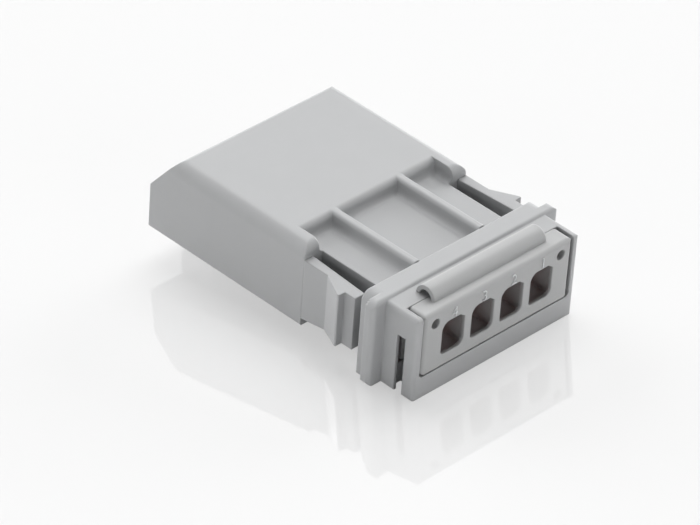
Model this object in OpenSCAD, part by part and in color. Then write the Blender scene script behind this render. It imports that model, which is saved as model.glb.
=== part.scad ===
// Sealed in-line wire-to-wire connector, pin half: a hooded one-piece housing with two panel
// latch arms, a front retainer, a mat seal and a clip-on rear cover.
// Millimetres. +X points from the mating mouth to the wire end, +Z up, and Z = 0 is the
// underside of the latch tunnel, the lowest face.

/* [Terminal grid] */
// Number of terminal positions in the row
ways = 4; // [2:1:8]
// Centre distance of the terminal positions
pitch = 2.5; // [2.3:0.05:3.5]
// Height of the terminal row's centre over the collar's underside
row_h = 3.56; // [3.4:0.01:3.7]
// Width of one terminal cavity inside the housing
cavity_w = 1.9; // [1.6:0.05:1.95]
// Height of one terminal cavity inside the housing
cavity_h = 2.1; // [1.8:0.05:2.2]
// Side of the square hole for one pin
pin_hole = 0.9; // [0.7:0.05:1.1]

/* [Hood] */
// Length from the mouth to the wire end
length = 22.7; // [21.5:0.1:28]
// Length of the hood from the mouth to its rear wall
hood_len = 11.8; // [11.2:0.1:12.6]
// Height of the hood without the latch tunnel
hood_h = 5.75; // [5.6:0.01:5.95]
// Distance from the end terminal's centre to the hood's side
side_land = 3.1; // [3.0:0.05:4]
// Wall of the hood
hood_wall = 0.8; // [0.6:0.05:0.85]
// Radius of the hood's two long top edges
hood_r = 0.9; // [0.5:0.05:1]
// Depth of the hood's interior
hood_depth = 9.25; // [8.8:0.05:9.6]
// Set-back of the top edge by the mouth's bevel
bevel_run = 2.15; // [1:0.05:3]
// Height of the mouth's bevel
bevel_rise = 2.6; // [1.2:0.05:3.2]
// Length of the side cheeks behind the hood's rear wall
cheek_len = 1.5; // [1.3:0.05:1.8]
// Thickness of a side cheek
cheek_t = 1.2; // [1.1:0.05:1.3]

/* [Latch tunnel] */
// Outer width of the tunnel under the hood
tunnel_w = 8.3; // [7:0.1:10]
// Drop of the tunnel below the collar's underside
tunnel_drop = 1.27; // [1:0.01:1.6]
// Length of the tunnel from the mouth
tunnel_len = 8.75; // [7.5:0.05:9.2]
// Wall of the tunnel
tunnel_wall = 0.7; // [0.5:0.05:0.8]
// Height of the catch that holds the mating half's lever
catch_h = 0.7; // [0.4:0.05:0.8]
// Width of that catch
catch_w = 3; // [2:0.1:4]

/* [Deck and ribs] */
// Depth of the deck's pockets below the hood's top
pocket_d = 0.94; // [0.7:0.01:1.1]
// Distance of each rib's middle from the centre line
rib_y = 2.75; // [2:0.05:3.2]
// Thickness of a rib
rib_t = 0.66; // [0.4:0.02:0.9]
// Free gap between the deck and a latch arm
arm_gap = 0.8; // [0.7:0.05:1]
// Rounding at the foot of the pocket walls
foot_r = 0.4; // [0.2:0.05:0.5]
// Depth of the coring pockets in the underside
coring_d = 0.7; // [0.4:0.05:0.8]

/* [Flange and collar] */
// Thickness of the flange's front step
step_t = 0.8; // [0.6:0.05:1]
// Reach of the front step past the hood's side
step_reach = 0.55; // [0.3:0.05:0.7]
// Thickness of the flange's rear rim
rim_t = 0.75; // [0.6:0.05:1]
// Reach of the rear rim past the hood's side
rim_reach = 1; // [0.75:0.05:1.2]
// Height of the flange
flange_h = 6; // [5.8:0.05:6.3]
// Length of the collar behind the flange
collar_len = 2.65; // [2.5:0.05:3.2]
// Height of the collar
collar_h = 5.85; // [5.75:0.05:6]
// Set-in of the collar's sides from the hood's sides
collar_inset = 0; // [0:0.05:0.2]
// Thickness of the collar's side walls
collar_wall = 0.46; // [0.4:0.02:0.5]
// Thickness of the collar's floor
collar_floor = 1.5; // [1.3:0.05:1.6]
// Width of the slot in each collar side
slot_w = 0.66; // [0.5:0.02:0.8]
// Height of that slot, open at the bottom
slot_h = 4.1; // [3:0.1:4.4]
// Width of the post between the slot and the wire end
post_w = 0.9; // [0.85:0.05:1]

/* [Latch arms] */
// Gap between an arm's end and the flange
arm_end_gap = 0.55; // [0.5:0.05:1]
// Height of an arm at its root
arm_h = 4.28; // [3.8:0.02:4.6]
// Height of an arm at its free end
arm_end_h = 3.73; // [3:0.01:3.8]
// Thickness of an arm at its root
arm_t = 0.7; // [0.6:0.05:0.75]
// Outward flare of the arm's inner face at the free end
arm_flare = 0.3; // [0.1:0.05:0.4]
// Reach of the shoulder past the hood's side
barb_reach = 0.9; // [0.8:0.05:1.1]
// Reach of the end pad past the hood's side
pad_reach = 0.4; // [0.3:0.05:0.6]
// Length of the end pad behind the shoulder
pad_len = 0.85; // [0.7:0.05:1]

/* [Rear cover] */
// Thickness of the cover plate
cover_t = 1.4; // [1.3:0.05:1.45]
// Gap around the cover in the collar
cover_gap = 0.12; // [0.05:0.01:0.2]
// Width of one cavity mouth in the cover
mouth_w = 1.9; // [1.8:0.05:2.05]
// Height of one cavity mouth in the cover
mouth_h = 2.3; // [2.1:0.05:2.4]
// Thickness of the lip round a cavity mouth
lip_t = 0.25; // [0.2:0.05:0.5]
// Width of the chamber behind a cavity mouth
chamber_w = 2.2; // [2.1:0.05:2.25]
// Height of the chamber behind a cavity mouth
chamber_h = 2.7; // [2.5:0.05:2.8]
// Radius of the two round holes
probe_r = 0.34; // [0.2:0.01:0.4]
// Distance of a round hole's centre from the side of the last cavity mouth
probe_side = 0.62; // [0.5:0.01:0.65]
// Depth of the round holes
probe_deep = 0.8; // [0.5:0.05:1]
// Height of the round holes above the terminal row's centre
probe_up = 1.45; // [1.2:0.05:1.55]
// Outer radius of the clip arch on the cover's top
arch_r = 0.75; // [0.7:0.01:0.8]
// Wall of the clip arch
arch_t = 0.28; // [0.22:0.01:0.3]
// Length of the clip arch
arch_len = 9.5; // [8:0.1:10.6]

/* [Seal and retainer] */
// Thickness of the mat seal
mat_t = 1.6; // [1.4:0.05:1.65]
// Radius of a wire hole in the mat seal
wire_r = 0.55; // [0.45:0.01:0.7]
// Thickness of the retainer's plate
retainer_t = 1.2; // [1:0.05:1.4]
// Travel of the retainer from pre-lock to full lock
retainer_travel = 0.9; // [0.7:0.05:1]
// Thickness of a retainer prong
prong_t = 0.38; // [0.3:0.02:0.42]
// Sliding clearance of the retainer
slide_gap = 0.1; // [0.06:0.01:0.14]

/* [Hidden] */
$fn = 48;
eps = 0.01;
over = 1; // how far a cut runs past the face that it opens
bury = 0.3; // how far a piece runs into the one that it grows from
sharp = 0.05; // radius of a corner that is left almost square
skin = 0.02; // gap that keeps soft parts off the walls round them

// Widths, across Y
hood_w = (ways - 1) * pitch + 2 * side_land;
side_y = hood_w / 2;
collar_y = side_y - collar_inset;
cheek_y = side_y - cheek_t;
arm_in_y = side_y - arm_t;
deck_y = arm_in_y - arm_gap;
recess_y = collar_y - collar_wall;
cover_y = recess_y - cover_gap;

// Stations along X, mouth to wire end
mouth_x = -length / 2;
hood_end_x = mouth_x + hood_len;
cheek_x = hood_end_x + cheek_len;
base_x = mouth_x + hood_depth;
wire_x = length / 2;
rim_x = wire_x - collar_len;
rim_front_x = rim_x - rim_t;
flange_x = rim_front_x - step_t;
arm_end_x = flange_x - arm_end_gap;
shoulder_x = arm_end_x - pad_len;
crest_x = shoulder_x - 0.15; // the ramp's upper end, just in front of the shoulder
cover_front_x = wire_x - cover_t;
bead_r = 0.22;
bead_x = cover_front_x - bead_r - 2 * skin;
seal_stop = 0.6; // the cover's inner step, which presses on the mat seal
mat_rear_x = cover_front_x - seal_stop;
mat_front_x = mat_rear_x - mat_t;

// Levels along Z
collar_z = tunnel_drop;
collar_top = collar_z + collar_h;
hood_top = collar_z + flange_h;
hood_z = hood_top - hood_h;
deck_z = hood_top - pocket_d;
row_z = collar_z + row_h;
floor_z = collar_z + collar_floor;
roof_t = 0.5; // the wall over the mat seal
mat_h = collar_h - collar_floor - roof_t;
hood_in_w = hood_w - 2 * hood_wall;
hood_in_h = hood_h - 2 * hood_wall;
hood_in_r = 0.4; // upper corners of the hood's interior
hood_low_r = 0.15; // its lower corners

// Terminal lances: a tongue in each cavity's floor, free to bend into the space under it
front_wall = 1;
lance_w = 1.1;
lance_t = 0.4;
lance_len = 3.2;
lance_bump = 0.25;
lance_set = 1.5; // from the front wall to the lance's tip
pin_gap = 0.15; // round a pin in the retainer's plate
flex_h = prong_t + 2 * slide_gap;
flex_w = lance_w + 4 * slide_gap;
cavity_z = row_z - cavity_h / 2;
lance_tip_x = base_x + front_wall + lance_set;
lance_root_x = lance_tip_x + lance_len;

function way_y(i) = (i - (ways - 1) / 2) * pitch;

// ---- building blocks ----

// Rectangle about Y = 0 standing on the Y axis of the sketch, with its own radius for the
// two upper and the two lower corners.
module arched_rect(w, h, r_top, r_low) {
    for (s = [-1, 1]) {
        translate([s * (w / 2 - r_top), h - r_top]) circle(r_top);
        translate([s * (w / 2 - r_low), r_low]) circle(r_low);
    }
    translate([-w / 2, r_low]) square([w, h - r_low - r_top]);
    translate([-w / 2 + r_top, h / 2]) square([w - 2 * r_top, h / 2]);
    translate([-w / 2 + r_low, 0]) square([w - 2 * r_low, h / 2]);
}

// A sketch in the Y-Z plane pushed along +X from x.
module along_x(x, len) {
    translate([x, 0, 0]) rotate([90, 0, 90]) linear_extrude(len) children();
}

// A sketch in the X-Z plane, centred across Y.
module across_y(w) {
    translate([0, w / 2, 0]) rotate([90, 0, 0]) linear_extrude(w) children();
}

// Box between two corners.
module span(a, b) {
    translate(a) cube(b - a);
}

// Plate across X with rounded corners, whose top and side edges are rounded to r_front at
// the front and to r_rear at the rear. Its bottom edges stay square.
module soft_plate(x, t, w, h, z, r_top, r_low, r_front, r_rear) {
    intersection() {
        along_x(x, t) translate([0, z]) arched_rect(w, h, r_top, r_low);
        across_y(w + 2 * over) side_view(x, t, z, h, r_front, r_rear);
        translate([0, 0, z - over]) linear_extrude(h + 2 * over) plan_view(x, t, w, r_front, r_rear);
    }
}

// X-Z outline of a plate, its two top corners rounded.
module side_view(x, t, z, h, r_front, r_rear) {
    translate([x, z]) square([t, h - max(r_front, r_rear)]);
    translate([x + r_front, z]) square([t - r_front - r_rear, h]);
    translate([x + r_front, z + h - r_front]) circle(r_front);
    translate([x + t - r_rear, z + h - r_rear]) circle(r_rear);
}

// X-Y outline of a plate, its corners rounded.
module plan_view(x, t, w, r_front, r_rear) {
    r = max(r_front, r_rear);
    translate([x, -w / 2 + r]) square([t, w - 2 * r]);
    translate([x + r_front, -w / 2]) square([t - r_front - r_rear, w]);
    for (s = [-1, 1]) {
        translate([x + r_front, s * (w / 2 - r_front)]) circle(r_front);
        translate([x + t - r_rear, s * (w / 2 - r_rear)]) circle(r_rear);
    }
}

// Straight fillet along X in the corner between a floor and a wall that stands at +Y of it.
module foot_fillet(x, len, y, z, side) {
    along_x(x, len) translate([y, z]) difference() {
        translate([side > 0 ? -foot_r : 0, -eps]) square([foot_r, foot_r + eps]);
        translate([-side * foot_r, foot_r]) circle(foot_r);
    }
}

// ---- housing ----

// Side view of the hood and its cheeks: bevelled mouth, rounded rear edge.
module hood_profile(end_x, r_rear) {
    difference() {
        union() {
            translate([mouth_x, hood_z]) square([end_x - mouth_x, hood_h - r_rear]);
            translate([mouth_x, hood_z]) square([end_x - r_rear - mouth_x, hood_h]);
            translate([end_x - r_rear, hood_top - r_rear]) circle(r_rear);
        }
        polygon([
            [mouth_x - over, hood_top - bevel_rise - over * bevel_rise / bevel_run],
            [mouth_x + bevel_run + over, hood_top + over * bevel_rise / bevel_run],
            [mouth_x - over, hood_top + 3 * over]
        ]);
        bevel_easing();
    }
}

// Sliver that rounds the edge between the bevel and the hood's top.
module bevel_easing() {
    r = 0.5;
    turn = atan2(bevel_rise, bevel_run);
    setback = r * tan(turn / 2);
    translate([mouth_x + bevel_run, hood_top]) difference() {
        polygon([
            [-setback * cos(turn), -setback * sin(turn)],
            [-eps, eps],
            [setback, eps],
            [setback, -r]
        ]);
        translate([setback, -r]) circle(r);
    }
}

module hood_shell() {
    low_r = 0.12;
    rear_r = 0.45;
    cheek_r = 0.6;
    intersection() {
        union() {
            across_y(hood_w + 2 * over) hood_profile(hood_end_x, rear_r);
            for (s = [-1, 1])
                translate([0, s * (side_y - cheek_t / 2), 0])
                    across_y(cheek_t) hood_profile(cheek_x, cheek_r);
        }
        along_x(mouth_x, cheek_x - mouth_x)
            translate([0, hood_z]) arched_rect(hood_w, hood_h, hood_r, low_r);
    }
}

// The block that holds the terminals, from the hood's base to the flange, with the sunk
// deck on top.
module terminal_block() {
    span([base_x - eps, -cheek_y - eps, hood_z], [cheek_x, cheek_y + eps, deck_z]);
    span([base_x, -deck_y, hood_z], [rim_front_x, deck_y, deck_z]);
    wall_foot();
}

// Fillets at the foot of the deck's walls.
module wall_foot() {
    pocket_len = flange_x - hood_end_x;
    for (s = [-1, 1]) {
        foot_fillet(hood_end_x, cheek_len, s * cheek_y, deck_z, s);
        for (side = [-1, 1])
            foot_fillet(hood_end_x, pocket_len, s * rib_y - side * rib_t / 2, deck_z, side);
    }
    across_y(2 * cheek_y) translate([hood_end_x, deck_z]) difference() {
        translate([-eps, -eps]) square(foot_r + eps);
        translate([foot_r, foot_r]) circle(foot_r);
    }
}

// The two ribs that stand on the deck, their crowns rounded all but for a narrow flat.
module ribs() {
    crown_flat = 0.12;
    crown_r = (rib_t - crown_flat) / 2;
    rib_z = deck_z - over;
    for (s = [-1, 1])
        along_x(hood_end_x - over, flange_x - hood_end_x + over + eps)
            translate([s * rib_y, rib_z])
                arched_rect(rib_t, hood_top - rib_z, crown_r, sharp);
}

module flange() {
    step_top_r = 1;
    step_low_r = 0.2;
    step_edge = 0.18;
    rim_top_r = 0.6;
    rim_low_r = 0.4;
    rim_front = 0.12;
    rim_rear = 0.3;
    soft_plate(flange_x, step_t + bury, 2 * (side_y + step_reach), flange_h, collar_z,
               step_top_r, step_low_r, step_edge, sharp);
    soft_plate(rim_front_x, rim_t, 2 * (side_y + rim_reach), flange_h, collar_z,
               rim_top_r, rim_low_r, rim_front, rim_rear);
}

module collar() {
    top_r = 0.3;
    low_r = 0.12;
    rear_r = 0.25;
    soft_plate(rim_x - bury, collar_len + bury, 2 * collar_y, collar_h, collar_z,
               top_r, low_r, sharp, rear_r);
}

// Catch bead on the collar's top strip, under the cover's clip arch.
module arch_bead() {
    bead_in = 0.6; // from the arch's end to the bead's
    translate([bead_x, 0, collar_top - skin])
        rotate([90, 0, 0]) cylinder(r = bead_r, h = arch_len - 2 * bead_in, center = true);
}

module tunnel() {
    low_r = 0.4;
    along_x(mouth_x, tunnel_len)
        arched_rect(tunnel_w, hood_z + hood_wall, sharp, low_r);
}

module hood_interior() {
    tunnel_r = 0.2;
    along_x(mouth_x - over, hood_depth + over)
        translate([0, hood_z + hood_wall]) arched_rect(hood_in_w, hood_in_h, hood_in_r, hood_low_r);
    along_x(mouth_x - over, tunnel_len - tunnel_wall + over)
        translate([0, tunnel_wall])
            arched_rect(tunnel_w - 2 * tunnel_wall, hood_z + hood_wall, sharp, tunnel_r);
}

// Catch for the mating lever: a ramp from the mouth, a flat and an upright face behind it.
module lever_catch() {
    ramp_x = mouth_x + 0.9;
    ramp_len = 1.4;
    flat_len = 0.6;
    top_z = tunnel_wall + catch_h;
    across_y(catch_w) polygon([
        [ramp_x, tunnel_wall - bury],
        [ramp_x, tunnel_wall],
        [ramp_x + ramp_len, top_z],
        [ramp_x + ramp_len + flat_len, top_z],
        [ramp_x + ramp_len + flat_len, tunnel_wall - bury]
    ]);
}

// One terminal's way through the housing.
module terminal_way() {
    span([base_x + front_wall, -cavity_w / 2, row_z - cavity_h / 2],
         [mat_front_x + over, cavity_w / 2, row_z + cavity_h / 2]);
    span([base_x - over, -pin_hole / 2, row_z - pin_hole / 2],
         [base_x + front_wall + over, pin_hole / 2, row_z + pin_hole / 2]);
    span([base_x - over, -flex_w / 2, cavity_z - lance_t - flex_h],
         [lance_root_x, flex_w / 2, cavity_z + eps]);
}

// One terminal's lance, its tip toward the mouth.
module lance() {
    nose = 0.2;
    ramp = 1.1;
    across_y(lance_w) polygon([
        [lance_root_x + bury, cavity_z - lance_t],
        [lance_tip_x, cavity_z - lance_t],
        [lance_tip_x, cavity_z + lance_bump],
        [lance_tip_x + nose, cavity_z + lance_bump],
        [lance_tip_x + nose + ramp, cavity_z],
        [lance_root_x + bury, cavity_z]
    ]);
}

// Pocket for the mat seal and, behind it, the open-topped recess for the cover.
module collar_recess() {
    low_r = 0.3;
    span([mat_front_x, -recess_y, floor_z], [cover_front_x + eps, recess_y, floor_z + mat_h]);
    along_x(cover_front_x, cover_t + over)
        translate([0, floor_z]) arched_rect(2 * recess_y, collar_h + over, sharp, low_r);
}

// Slot in each side of the collar, open at the bottom: a narrow mouth and, past its thin
// lip, a room that reaches further forward.
module collar_slots() {
    slot_x = wire_x - post_w - slot_w;
    slot_deep = 1;
    slot_lip = 0.25;
    room = 0.35;
    low = collar_z - over;
    top = collar_z + slot_h;
    for (s = [-1, 1]) mirror([0, s < 0 ? 1 : 0, 0]) {
        span([slot_x, collar_y - slot_deep, low], [slot_x + slot_w, collar_y + over, top]);
        span([slot_x - room, collar_y - slot_deep, low], [slot_x + eps, collar_y - slot_lip, top]);
    }
}

// Shallow coring pockets in the underside, between the same ribs as on top.
module coring() {
    edge = 0.6;
    rib_in = rib_y - rib_t / 2;
    rib_out = rib_y + rib_t / 2;
    for (y = [[-rib_in, rib_in], [rib_out, deck_y - edge], [edge - deck_y, -rib_out]])
        span([cheek_x, y[0], hood_z - over], [flange_x - edge, y[1], hood_z + coring_d]);
}

module housing() {
    color([0.62, 0.63, 0.64]) union() {
        difference() {
            union() {
                hood_shell();
                terminal_block();
                ribs();
                flange();
                collar();
                arch_bead();
                tunnel();
            }
            hood_interior();
            for (i = [0 : ways - 1]) translate([0, way_y(i), 0]) terminal_way();
            collar_recess();
            collar_slots();
            coring();
        }
        for (i = [0 : ways - 1]) translate([0, way_y(i), 0]) lance();
        lever_catch();
    }
}

// ---- latch arms ----

// Plan of the arm on the +Y side: straight root, ramp, upright shoulder, end pad.
module arm_plan() {
    ramp_len = 1.7;
    polygon([
        [cheek_x, arm_in_y],
        [arm_end_x, arm_in_y + arm_flare],
        [arm_end_x, side_y + pad_reach],
        [shoulder_x, side_y + pad_reach],
        [shoulder_x, side_y + barb_reach],
        [crest_x, side_y + barb_reach],
        [crest_x - ramp_len, side_y],
        [cheek_x, side_y]
    ]);
}

// Side view of an arm: level top, underside rising from the root to the shoulder.
module arm_side() {
    polygon([
        [cheek_x, deck_z - arm_h],
        [crest_x, deck_z - arm_end_h],
        [arm_end_x, deck_z - arm_end_h],
        [arm_end_x, deck_z],
        [cheek_x, deck_z]
    ]);
}

module latch_arm(side) {
    color([0.64, 0.65, 0.66]) mirror([0, side < 0 ? 1 : 0, 0]) intersection() {
        translate([0, 0, deck_z - arm_h]) linear_extrude(arm_h) arm_plan();
        across_y(2 * (side_y + barb_reach + over)) arm_side();
    }
}

module left_latch_arm() {
    latch_arm(1);
}

module right_latch_arm() {
    latch_arm(-1);
}

// ---- front retainer ----

module front_retainer() {
    rear = base_x - retainer_travel - slide_gap;
    prong_z = cavity_z - lance_t - flex_h + slide_gap;
    prong_end = lance_tip_x - bury;
    pin_clear = pin_hole + 2 * pin_gap;
    color([0.80, 0.79, 0.74]) union() {
        difference() {
            along_x(rear - retainer_t, retainer_t)
                translate([0, hood_z + hood_wall + slide_gap])
                    arched_rect(hood_in_w - 2 * slide_gap, hood_in_h - 2 * slide_gap,
                                hood_in_r, hood_low_r);
            for (i = [0 : ways - 1])
                translate([rear - retainer_t / 2, way_y(i), row_z])
                    cube([retainer_t + over, pin_clear, pin_clear], center = true);
        }
        for (i = [0 : ways - 1])
            translate([rear - bury, way_y(i) - lance_w / 2, prong_z])
                cube([prong_end - rear + bury, lance_w, prong_t]);
    }
}

// ---- mat seal ----

// Wire hole with two sealing lips.
module wire_hole() {
    lip = 0.12;
    translate([mat_front_x - over, 0, row_z]) rotate([0, 90, 0]) rotate_extrude() difference() {
        square([wire_r, mat_t + 2 * over]);
        for (k = [1, 2])
            translate([wire_r + lip, over + k * mat_t / 3]) circle(2 * lip);
    }
}

// Block of rubber with two sealing beads round its edge.
module mat_seal() {
    bead = 0.15;
    corner_r = 0.4;
    body_w = 2 * (recess_y - skin - bead);
    body_h = mat_h - 2 * (skin + bead);
    color([0.50, 0.24, 0.19]) difference() {
        union() {
            along_x(mat_front_x, mat_t)
                translate([0, floor_z + skin + bead])
                    arched_rect(body_w, body_h, corner_r, corner_r);
            for (k = [1, 3])
                along_x(mat_front_x + k * mat_t / 4 - bead, 2 * bead)
                    translate([0, floor_z + skin])
                        arched_rect(body_w + 2 * bead, body_h + 2 * bead, corner_r, corner_r);
        }
        for (i = [0 : ways - 1]) translate([0, way_y(i), 0]) wire_hole();
    }
}

// ---- rear cover ----

// Mouth of one cavity: one upper corner well rounded, the other chamfered, and the lower
// corners rounded to two sizes.
module cavity_mouth() {
    w = mouth_w / 2;
    h = mouth_h / 2;
    top_r = 0.6;
    chamfer_w = 0.42;
    chamfer_h = 0.3;
    low_r = 0.25;
    wide_r = 0.5;
    translate([-w + top_r, h - top_r]) circle(top_r);
    translate([-w + low_r, -h + low_r]) circle(low_r);
    translate([w - wide_r, -h + wide_r]) circle(wide_r);
    polygon([
        [-w, -h + low_r],
        [-w, h - top_r],
        [-w + top_r, h - top_r],
        [-w + top_r, h],
        [w - chamfer_w, h],
        [w, h - chamfer_h],
        [w, -h + wide_r],
        [w - wide_r, -h + wide_r],
        [w - wide_r, -h],
        [-w + low_r, -h],
        [-w + low_r, -h + low_r]
    ]);
}

// Plate that closes the collar, with a step inside that presses on the mat seal.
module cover_plate() {
    plate_z = floor_z + cover_gap;
    corner_r = 0.3;
    rear_r = 0.3;
    step_in = 0.15;
    soft_plate(cover_front_x, cover_t, 2 * cover_y, collar_top - plate_z, plate_z,
               corner_r, corner_r, sharp, rear_r);
    span([mat_rear_x, step_in - cover_y, floor_z + corner_r],
         [cover_front_x + bury, cover_y - step_in, floor_z + mat_h - cover_gap]);
}

// Clip arch: a half ring that bridges the collar's catch bead. Its rear leg stands on the
// plate and its front leg ends just clear of the collar.
module clip_arch() {
    arch_lead = 0.12; // how far the ring's axis lies in front of the plate
    translate([cover_front_x - arch_lead, arch_len / 2, collar_top]) rotate([90, 0, 0])
        linear_extrude(arch_len) difference() {
            circle(arch_r);
            circle(arch_r - arch_t);
            translate([-2 * arch_r, -2 * arch_r]) square([2 * arch_r, 2 * arch_r + skin]);
            translate([-eps, -2 * arch_r]) square([2 * arch_r, 2 * arch_r]);
        }
}

// Blind round hole at each end of the row, in the cover's face.
module probe_holes() {
    probe_y = way_y(ways - 1) + mouth_w / 2 + probe_side;
    for (s = [-1, 1])
        translate([wire_x - probe_deep, s * probe_y, row_z + probe_up])
            rotate([0, 90, 0]) cylinder(r = probe_r, h = probe_deep + over);
}

// Notches in the cover's ends that leave the collar's slots open. A thin rest of the inner
// step stays in front of them and covers the mat seal.
module end_notches() {
    notch_deep = 0.55;
    notch_lead = 0.25;
    front = mat_rear_x + notch_lead;
    for (s = [-1, 1]) mirror([0, s < 0 ? 1 : 0, 0])
        span([front, cover_y - notch_deep, collar_z],
             [wire_x - post_w, cover_y + over, collar_z + slot_h]);
}

// Opening of one cavity: the shaped mouth in a thin lip, and a wider chamber behind it.
module cavity_opening() {
    lip_x = wire_x - lip_t;
    along_x(lip_x - eps, lip_t + over) translate([0, row_z]) cavity_mouth();
    span([mat_rear_x - over, -chamber_w / 2, row_z - chamber_h / 2],
         [lip_x, chamber_w / 2, row_z + chamber_h / 2]);
}

module rear_cover() {
    color([0.60, 0.61, 0.62]) difference() {
        union() {
            cover_plate();
            clip_arch();
        }
        for (i = [0 : ways - 1]) translate([0, way_y(i), 0]) cavity_opening();
        probe_holes();
        end_notches();
    }
}

housing();
left_latch_arm();
right_latch_arm();
front_retainer();
mat_seal();
rear_cover();
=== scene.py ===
import math

import bpy
from mathutils import Matrix, Vector


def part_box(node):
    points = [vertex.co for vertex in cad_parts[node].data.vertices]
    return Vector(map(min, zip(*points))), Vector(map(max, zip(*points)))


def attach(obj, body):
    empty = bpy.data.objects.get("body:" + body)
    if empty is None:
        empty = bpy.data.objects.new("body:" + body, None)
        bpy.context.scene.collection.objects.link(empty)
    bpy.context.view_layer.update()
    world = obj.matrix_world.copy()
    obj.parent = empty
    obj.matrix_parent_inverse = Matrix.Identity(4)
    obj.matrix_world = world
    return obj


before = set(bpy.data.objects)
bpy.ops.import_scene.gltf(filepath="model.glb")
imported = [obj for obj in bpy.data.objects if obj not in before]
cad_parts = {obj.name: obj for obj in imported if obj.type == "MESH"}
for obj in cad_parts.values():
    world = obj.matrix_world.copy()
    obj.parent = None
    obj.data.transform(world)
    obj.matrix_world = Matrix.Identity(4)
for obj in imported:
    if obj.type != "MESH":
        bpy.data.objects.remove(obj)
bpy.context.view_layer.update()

bl_info = {
    "name": "Sealed connector looks",
    "version": (1, 0, 0),
    "blender": (4, 5, 0),
    "location": "3D View > Sidebar > Connector",
    "description": "Plastic, rubber, cavity numbers and studio for the sealed connector",
    "category": "Object",
}

MM = 0.001
PAPER_WHITE = 0.985  # strength of the white that the eye sees round the connector


# ---- settings ----


class ConnectorPlastic(bpy.types.PropertyGroup):
    housing_colour: bpy.props.FloatVectorProperty(
        name="Housing grey",
        description="Colour of the housing and its latch arms",
        subtype="COLOR",
        default=(0.370, 0.375, 0.381),
    )
    cover_colour: bpy.props.FloatVectorProperty(
        name="Cover grey",
        description="Colour of the rear cover",
        subtype="COLOR",
        default=(0.372, 0.376, 0.378),
    )
    retainer_colour: bpy.props.FloatVectorProperty(
        name="Retainer",
        description="Colour of the natural, unpigmented retainer",
        subtype="COLOR",
        default=(0.66, 0.64, 0.56),
    )
    gloss_roughness: bpy.props.FloatProperty(
        name="Roughness",
        description="How far the moulded surface spreads a reflection",
        default=0.42,
        min=0.0,
        max=1.0,
    )
    edge_radius: bpy.props.FloatProperty(
        name="Edge radius",
        description="Softening that the mould leaves on every sharp edge",
        subtype="DISTANCE",
        default=0.13 * MM,
    )


class ConnectorRubber(bpy.types.PropertyGroup):
    seal_colour: bpy.props.FloatVectorProperty(
        name="Seal red",
        description="Colour of the silicone mat seal",
        subtype="COLOR",
        default=(0.30, 0.06, 0.04),
    )


class ConnectorNumbers(bpy.types.PropertyGroup):
    height: bpy.props.FloatProperty(
        name="Number height",
        description="Height of a cavity number",
        subtype="DISTANCE",
        default=0.72 * MM,
    )
    foot: bpy.props.FloatProperty(
        name="Number foot",
        description="Height of a cavity number's foot over the tunnel's underside",
        subtype="DISTANCE",
        default=6.07 * MM,
    )
    pitch: bpy.props.FloatProperty(
        name="Pitch",
        description="Distance between two terminal positions",
        subtype="DISTANCE",
        default=2.5 * MM,
    )
    relief: bpy.props.FloatProperty(
        name="Number relief",
        description="How far a number stands out of the cover",
        subtype="DISTANCE",
        default=0.07 * MM,
    )
    thinning: bpy.props.FloatProperty(
        name="Thinning",
        description="How far each stroke is drawn in from the plain figure's outline",
        subtype="DISTANCE",
        default=0.02 * MM,
    )


class ConnectorStage(bpy.types.PropertyGroup):
    azimuth: bpy.props.FloatProperty(
        name="Azimuth",
        description="Turn of the view about the vertical",
        subtype="ANGLE",
        default=math.radians(42.764),
    )
    elevation: bpy.props.FloatProperty(
        name="Elevation",
        description="Height of the view over the horizon",
        subtype="ANGLE",
        default=math.radians(35.891),
    )
    roll: bpy.props.FloatProperty(
        name="Roll",
        description="Turn of the view about its own axis",
        subtype="ANGLE",
        default=math.radians(4.276),
    )
    distance: bpy.props.FloatProperty(
        name="Distance",
        description="From the lens to the middle of the connector",
        subtype="DISTANCE",
        default=301.24 * MM,
    )
    focal_length: bpy.props.FloatProperty(
        name="Focal length",
        description="Focal length of the lens in millimetres",
        default=257.14,
    )
    aim: bpy.props.FloatVectorProperty(
        name="Aim",
        description="The point that the lens circles, before the framing",
        subtype="XYZ",
        default=(0.0, 0.0, 5.27 * MM),
    )
    framing: bpy.props.FloatVectorProperty(
        name="Framing",
        description="Sideways and upward move of the lens",
        size=2,
        default=(-0.740 * MM, -2.743 * MM),
    )
    floor_colour: bpy.props.FloatVectorProperty(
        name="Floor",
        description="Colour of the white glossy floor",
        subtype="COLOR",
        default=(0.82, 0.82, 0.82),
    )
    floor_gloss: bpy.props.FloatProperty(
        name="Floor gloss",
        description="Share of the light that the floor mirrors",
        default=0.18,
        min=0.0,
        max=1.0,
    )
    floor_lift: bpy.props.FloatProperty(
        name="Floor lift",
        description="How far the floor is lifted to plain white, which softens the shadow on it",
        default=0.6,
        min=0.0,
        max=1.0,
    )
    room_light: bpy.props.FloatProperty(
        name="Room light",
        description="Strength of the even light from all round",
        default=0.06,
        min=0.0,
    )


# ---- materials ----

PLASTIC_CLOUDS_PER_MM = 0.6
PLASTIC_GRAINS_PER_MM = 14.0
PLASTIC_GRAIN_DEPTH = 0.004 * MM
PLASTIC_GRAIN_STRENGTH = 0.25
PLASTIC_IOR = 1.5
ROUGHNESS_SWING = 0.05  # how far the grain moves the roughness to either side
RUBBER_CLOUDS_PER_MM = 1.5
RUBBER_GRAINS_PER_MM = 8.0
FLOOR_MIRROR_ROUGHNESS = 0.04

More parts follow.
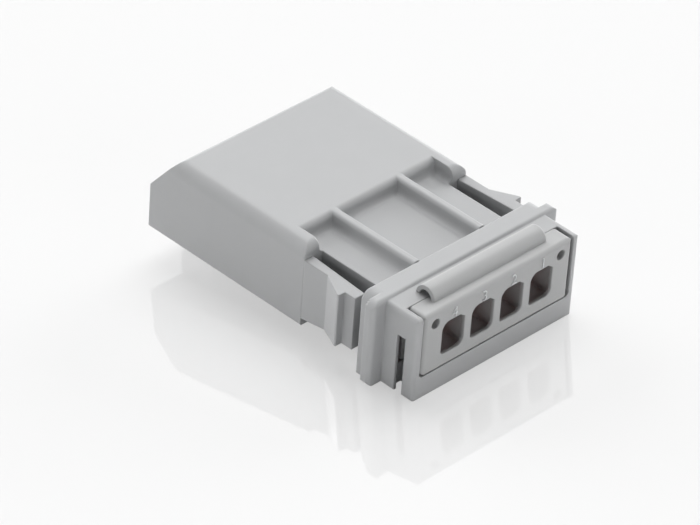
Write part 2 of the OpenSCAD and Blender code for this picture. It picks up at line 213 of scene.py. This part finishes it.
class NodeSheet:
    """A new material's node tree, with short calls for adding and joining nodes."""

    def __init__(self, name):
        self.material = bpy.data.materials.new(name)
        self.material.use_nodes = True
        self.tree = self.material.node_tree
        self.shader = self.tree.nodes["Principled BSDF"]

    def add(self, kind, **settings):
        node = self.tree.nodes.new(kind)
        for key, value in settings.items():
            setattr(node, key, value)
        return node

    def join(self, source, target):
        self.tree.links.new(source, target)

    def noise(self, per_mm, detail):
        """Noise in the object's own space, with that many features to a millimetre."""
        place = self.add("ShaderNodeTexCoord")
        noise = self.add("ShaderNodeTexNoise")
        noise.inputs["Scale"].default_value = per_mm / MM
        noise.inputs["Detail"].default_value = detail
        self.join(place.outputs["Object"], noise.inputs["Vector"])
        return noise.outputs["Fac"]

    def spread(self, value, low, high):
        """A 0 to 1 value mapped to low..high."""
        node = self.add("ShaderNodeMapRange")
        node.inputs["To Min"].default_value = low
        node.inputs["To Max"].default_value = high
        self.join(value, node.inputs["Value"])
        return node.outputs["Result"]


def moulded_plastic(name, colour, roughness, edge_radius):
    """Satin moulded plastic: a faint cloud in its colour, a fine eroded grain and soft edges."""
    sheet = NodeSheet(name)
    shader = sheet.shader
    tint = sheet.add("ShaderNodeMix", data_type="RGBA", blend_type="MULTIPLY")
    tint.inputs["Factor"].default_value = 1.0
    tint.inputs["A"].default_value = (*colour, 1.0)
    cloud = sheet.spread(sheet.noise(PLASTIC_CLOUDS_PER_MM, 2.0), 0.975, 1.02)
    sheet.join(cloud, tint.inputs["B"])
    sheet.join(tint.outputs["Result"], shader.inputs["Base Color"])
    grain = sheet.noise(PLASTIC_GRAINS_PER_MM, 3.0)
    uneven = sheet.spread(grain, roughness - ROUGHNESS_SWING, roughness + ROUGHNESS_SWING)
    sheet.join(uneven, shader.inputs["Roughness"])
    soft_edge = sheet.add("ShaderNodeBevel", samples=8)
    soft_edge.inputs["Radius"].default_value = edge_radius
    bump = sheet.add("ShaderNodeBump")
    bump.inputs["Strength"].default_value = PLASTIC_GRAIN_STRENGTH
    bump.inputs["Distance"].default_value = PLASTIC_GRAIN_DEPTH
    sheet.join(grain, bump.inputs["Height"])
    sheet.join(soft_edge.outputs["Normal"], bump.inputs["Normal"])
    sheet.join(bump.outputs["Normal"], shader.inputs["Normal"])
    shader.inputs["IOR"].default_value = PLASTIC_IOR
    return sheet.material


def silicone_rubber(name, colour):
    """Soft matt rubber with a slight cloud in its colour."""
    sheet = NodeSheet(name)
    shader = sheet.shader
    tint = sheet.add("ShaderNodeMix", data_type="RGBA", blend_type="MULTIPLY")
    tint.inputs["Factor"].default_value = 1.0
    tint.inputs["A"].default_value = (*colour, 1.0)
    cloud = sheet.spread(sheet.noise(RUBBER_CLOUDS_PER_MM, 2.0), 0.9, 1.1)
    sheet.join(cloud, tint.inputs["B"])
    sheet.join(tint.outputs["Result"], shader.inputs["Base Color"])
    grain = sheet.spread(sheet.noise(RUBBER_GRAINS_PER_MM, 3.0), 0.5, 0.65)
    sheet.join(grain, shader.inputs["Roughness"])
    return sheet.material


def glossy_floor(name, colour, gloss, lift):
    """White sheet with a faint mirror, lifted towards plain white where the eye sees it."""
    sheet = NodeSheet(name)
    output = sheet.tree.nodes["Material Output"]
    shader = sheet.shader
    shader.inputs["Base Color"].default_value = (*colour, 1.0)
    shader.inputs["Specular IOR Level"].default_value = 0.0
    shader.inputs["Roughness"].default_value = 0.9
    white = sheet.add("ShaderNodeEmission")
    white.inputs["Strength"].default_value = PAPER_WHITE
    path = sheet.add("ShaderNodeLightPath")
    lifted = sheet.add("ShaderNodeMixShader")
    sheet.join(sheet.spread(path.outputs["Is Camera Ray"], 0.0, lift), lifted.inputs["Fac"])
    sheet.join(shader.outputs["BSDF"], lifted.inputs[1])
    sheet.join(white.outputs["Emission"], lifted.inputs[2])
    mirror = sheet.add("ShaderNodeBsdfGlossy")
    mirror.inputs["Roughness"].default_value = FLOOR_MIRROR_ROUGHNESS
    polished = sheet.add("ShaderNodeMixShader")
    polished.inputs["Fac"].default_value = gloss
    sheet.join(lifted.outputs["Shader"], polished.inputs[1])
    sheet.join(mirror.outputs["BSDF"], polished.inputs[2])
    sheet.join(polished.outputs["Shader"], output.inputs["Surface"])
    return sheet.material


def coat(piece, material):
    """Gives all of a piece one material."""
    piece.data.materials.clear()
    piece.data.materials.append(material)


# ---- pieces ----

POSITIONS = 4
CAPITAL_SHARE = 0.69  # height of a figure against the size of its type


class CONNECTOR_OT_moulding(bpy.types.Operator):
    """Finish the housing and its two latch arms, which are one moulding"""

    bl_idname = "connector.moulding"
    bl_label = "Housing and latch arms"

    def execute(self, context):
        look = context.scene.connector_plastic
        grey = moulded_plastic(
            "housing_grey", look.housing_colour, look.gloss_roughness, look.edge_radius
        )
        for node in ("housing", "left_latch_arm", "right_latch_arm"):
            coat(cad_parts[node], grey)
        return {"FINISHED"}


class CONNECTOR_OT_retainer(bpy.types.Operator):
    """Finish the front retainer"""

    bl_idname = "connector.retainer"
    bl_label = "Front retainer"

    def execute(self, context):
        look = context.scene.connector_plastic
        natural = moulded_plastic(
            "retainer_natural", look.retainer_colour, look.gloss_roughness, look.edge_radius
        )
        coat(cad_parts["front_retainer"], natural)
        return {"FINISHED"}


class CONNECTOR_OT_seal(bpy.types.Operator):
    """Finish the mat seal"""

    bl_idname = "connector.seal"
    bl_label = "Mat seal"

    def execute(self, context):
        rubber = silicone_rubber("seal_red_brown", context.scene.connector_rubber.seal_colour)
        coat(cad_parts["mat_seal"], rubber)
        return {"FINISHED"}


class CONNECTOR_OT_cover(bpy.types.Operator):
    """Finish the rear cover"""

    bl_idname = "connector.cover"
    bl_label = "Rear cover"

    def execute(self, context):
        look = context.scene.connector_plastic
        grey = moulded_plastic(
            "cover_grey", look.cover_colour, look.gloss_roughness, look.edge_radius
        )
        coat(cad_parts["rear_cover"], grey)
        return {"FINISHED"}


class CONNECTOR_OT_numbers(bpy.types.Operator):
    """Raise a number over each terminal position's mouth in the rear cover"""

    bl_idname = "connector.numbers"
    bl_label = "Cavity numbers"

    def execute(self, context):
        look = context.scene.connector_numbers
        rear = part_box("rear_cover")[1][0]
        facing = Matrix(((0.0, 0.0, 1.0), (1.0, 0.0, 0.0), (0.0, 1.0, 0.0)))
        for position in range(POSITIONS):
            stroke = bpy.data.curves.new(f"cavity_number_{position + 1}", "FONT")
            stroke.body = str(position + 1)
            stroke.align_x = "CENTER"
            stroke.size = look.height / CAPITAL_SHARE
            stroke.offset = -look.thinning
            stroke.extrude = look.relief
            number = bpy.data.objects.new(stroke.name, stroke)
            across = look.pitch * ((POSITIONS - 1) / 2 - position)
            place = Matrix.Translation((rear, across, look.foot))
            number.matrix_world = place @ facing.to_4x4()
            context.scene.collection.objects.link(number)
            coat(number, bpy.data.materials["cover_grey"])
            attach(number, "housing")
        return {"FINISHED"}


# ---- stage ----

FLOOR_REACH = 3.0
LEVEL_TOLERANCE = 0.01 * MM
SENSOR_WIDTH = 36.0
NEAREST_SEEN = 10 * MM

def place_camera(stage):
    """Camera on a circle round the aim, rolled and moved sideways in its own plane."""
    a, e = stage.azimuth, stage.elevation
    back = Vector((math.sin(a) * math.cos(e), -math.cos(a) * math.cos(e), math.sin(e)))
    right = Vector((math.cos(a), math.sin(a), 0.0))
    up = back.cross(right)
    rolled_right = right * math.cos(stage.roll) + up * math.sin(stage.roll)
    rolled_up = up * math.cos(stage.roll) - right * math.sin(stage.roll)
    spot = Vector(stage.aim) + back * stage.distance
    spot += rolled_right * stage.framing[0] + rolled_up * stage.framing[1]
    lens = bpy.data.cameras.new("camera")
    lens.lens = stage.focal_length
    lens.sensor_width = SENSOR_WIDTH
    lens.clip_start = NEAREST_SEEN
    camera = bpy.data.objects.new("camera", lens)
    turn = Matrix((rolled_right, rolled_up, back)).transposed()
    camera.matrix_world = Matrix.Translation(spot) @ turn.to_4x4()
    bpy.context.scene.collection.objects.link(camera)
    bpy.context.scene.camera = camera


def floor_line():
    """The two points that the connector rests on, on the tunnel's rear edge and the collar's."""
    points = [vertex.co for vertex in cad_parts["housing"].data.vertices]
    lowest = min(point.z for point in points)
    tunnel_edge = max((p for p in points if p.z < lowest + LEVEL_TOLERANCE), key=lambda p: p.x)
    behind = [p for p in points if p.x > tunnel_edge.x + MM]
    rear_edge = min(behind, key=lambda p: (p.z - lowest) / (p.x - tunnel_edge.x))
    return Vector((tunnel_edge.x, 0.0, lowest)), Vector((rear_edge.x, 0.0, rear_edge.z))


def lay_floor(material):
    """Wide flat floor under the two edges that the connector rests on."""
    tunnel_edge, rear_edge = floor_line()
    along = (rear_edge - tunnel_edge).normalized()
    across = Vector((0.0, 1.0, 0.0))
    corners = [
        tunnel_edge + (along * u + across * v) * FLOOR_REACH
        for u, v in ((-1, -1), (1, -1), (1, 1), (-1, 1))
    ]
    mesh = bpy.data.meshes.new("floor")
    mesh.from_pydata(corners, [], [(0, 1, 2, 3)])
    floor = bpy.data.objects.new("floor", mesh)
    bpy.context.scene.collection.objects.link(floor)
    coat(floor, material)


SOFT_BOX_ANGLE = math.radians(50.0)
PLAIN_LEVEL = math.pi  # a lamp of this strength straight above shows a colour as it is written


def hang_lamp(name, source, share):
    """Large soft box that shines from source, with that share of the plain level."""
    lamp = bpy.data.lights.new(name, "SUN")
    lamp.energy = share * PLAIN_LEVEL
    lamp.angle = SOFT_BOX_ANGLE
    holder = bpy.data.objects.new(name, lamp)
    holder.rotation_euler = Vector(source).to_track_quat("Z", "Y").to_euler()
    bpy.context.scene.collection.objects.link(holder)


def hang_lamps():
    hang_lamp("overhead_box", (-0.33, 0.33, 0.90), 0.70)
    hang_lamp("mouth_end_box", (-1.0, 0.0, 0.20), 0.95)
    hang_lamp("far_side_box", (0.0, 1.0, 0.15), 1.04)
    hang_lamp("near_side_box", (0.0, -1.0, 0.15), 0.36)
    hang_lamp("wire_end_box", (1.0, 0.0, 0.15), 0.42)


def light_room(strength):
    """World light of one grey, shown as plain white behind the floor's edge."""
    world = bpy.data.worlds.new("room")
    bpy.context.scene.world = world
    world.use_nodes = True
    tree = world.node_tree
    glow = tree.nodes["Background"]
    glow.inputs["Color"].default_value = (1.0, 1.0, 1.0, 1.0)
    glow.inputs["Strength"].default_value = strength
    white = tree.nodes.new("ShaderNodeBackground")
    white.inputs["Color"].default_value = (1.0, 1.0, 1.0, 1.0)
    white.inputs["Strength"].default_value = PAPER_WHITE
    path = tree.nodes.new("ShaderNodeLightPath")
    seen = tree.nodes.new("ShaderNodeMath")
    seen.operation = "MAXIMUM"
    tree.links.new(path.outputs["Is Camera Ray"], seen.inputs[0])
    tree.links.new(path.outputs["Is Glossy Ray"], seen.inputs[1])
    blend = tree.nodes.new("ShaderNodeMixShader")
    tree.links.new(seen.outputs["Value"], blend.inputs["Fac"])
    tree.links.new(glow.outputs["Background"], blend.inputs[1])
    tree.links.new(white.outputs["Background"], blend.inputs[2])
    tree.links.new(blend.outputs["Shader"], tree.nodes["World Output"].inputs["Surface"])


class CONNECTOR_OT_stage(bpy.types.Operator):
    """Set the floor, the soft light and the camera"""

    bl_idname = "connector.stage"
    bl_label = "Stage"

    def execute(self, context):
        stage = context.scene.connector_stage
        context.scene.view_settings.view_transform = "Standard"
        floor_white = glossy_floor(
            "floor_white", stage.floor_colour, stage.floor_gloss, stage.floor_lift
        )
        lay_floor(floor_white)
        light_room(stage.room_light)
        hang_lamps()
        place_camera(stage)
        return {"FINISHED"}


# ---- panel and registration ----

PIECES = (
    CONNECTOR_OT_moulding,
    CONNECTOR_OT_retainer,
    CONNECTOR_OT_seal,
    CONNECTOR_OT_cover,
    CONNECTOR_OT_numbers,
    CONNECTOR_OT_stage,
)


class CONNECTOR_PT_panel(bpy.types.Panel):
    """Buttons for the connector's pieces and stage"""

    bl_idname = "CONNECTOR_PT_panel"
    bl_label = "Sealed connector"
    bl_space_type = "VIEW_3D"
    bl_region_type = "UI"
    bl_category = "Connector"

    def draw(self, context):
        for operator in PIECES:
            self.layout.operator(operator.bl_idname)


GROUPS = (
    ("connector_plastic", ConnectorPlastic),
    ("connector_rubber", ConnectorRubber),
    ("connector_numbers", ConnectorNumbers),
    ("connector_stage", ConnectorStage),
)


def register():
    for name, group in GROUPS:
        bpy.utils.register_class(group)
        setattr(bpy.types.Scene, name, bpy.props.PointerProperty(type=group))
    for item in (*PIECES, CONNECTOR_PT_panel):
        bpy.utils.register_class(item)


def unregister():
    for item in (CONNECTOR_PT_panel, *reversed(PIECES)):
        bpy.utils.unregister_class(item)
    for name, group in reversed(GROUPS):
        delattr(bpy.types.Scene, name)
        bpy.utils.unregister_class(group)


def main():
    register()
    for operator in PIECES:
        module, action = operator.bl_idname.split(".")
        getattr(getattr(bpy.ops, module), action)()


if __name__ == "__main__":
    main()
